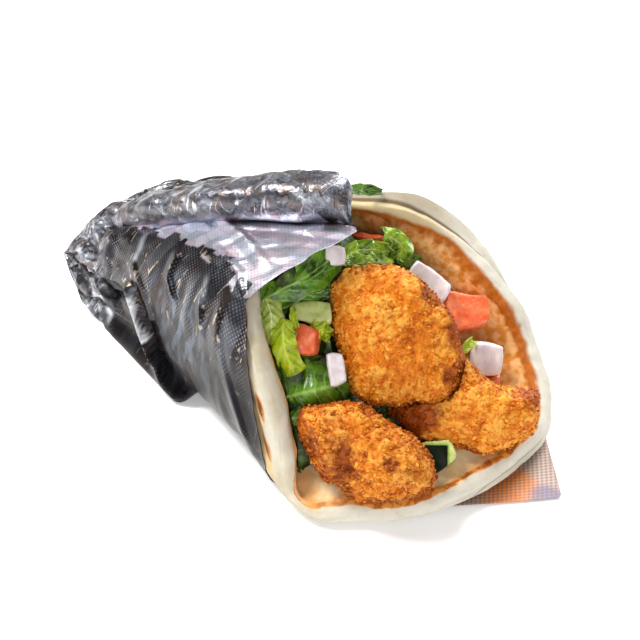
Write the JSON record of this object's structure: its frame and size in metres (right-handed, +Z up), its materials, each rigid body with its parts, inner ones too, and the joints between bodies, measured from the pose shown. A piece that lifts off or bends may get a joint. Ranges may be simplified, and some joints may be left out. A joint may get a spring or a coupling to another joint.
{
  "type": "shrimp flatbread wrap in foil",
  "caption": "Flatbread wrap in aluminium foil, its open mouth filled with crumbed fried shrimp, lettuce, tomato, onion and cucumber.",
  "frame": {"origin": "middle of the bounding box's underside, on the surface that the wrap lies on", "axes": "+X along the wrap from its folded foil tail to its open mouth, +Y from the near wall to the far wall, +Z up"},
  "size_m": [0.1784, 0.0968, 0.0768],
  "materials": {
    "bread": "soft flatbread, flour-pale outside and at the rim, mottled golden brown inside",
    "foil": "dull-bright aluminium foil, finely embossed with dots and crumpled",
    "salad": "fresh shredded lettuce, bright green with paler ribs, moist",
    "shrimp": "crumb coating fried golden orange with browner edges, rough",
    "tomato": "moist orange-red tomato flesh and skin",
    "onion": "moist white onion tinged with lilac",
    "cucumber": "pale green flesh with a dark glossy green skin"
  },
  "bodies": {
    "root": {"bread": "bread", "foil": "foil", "salad": "salad", "shrimp_top": "shrimp", "shrimp_left": "shrimp", "shrimp_right": "shrimp", "tomato_1": "tomato", "tomato_2": "tomato", "tomato_3": "tomato", "tomato_4": "tomato", "onion_1": "onion", "onion_2": "onion", "onion_3": "onion", "onion_4": "onion", "cucumber_1": "cucumber", "cucumber_2": "cucumber"}
  },
  "joints": []
}
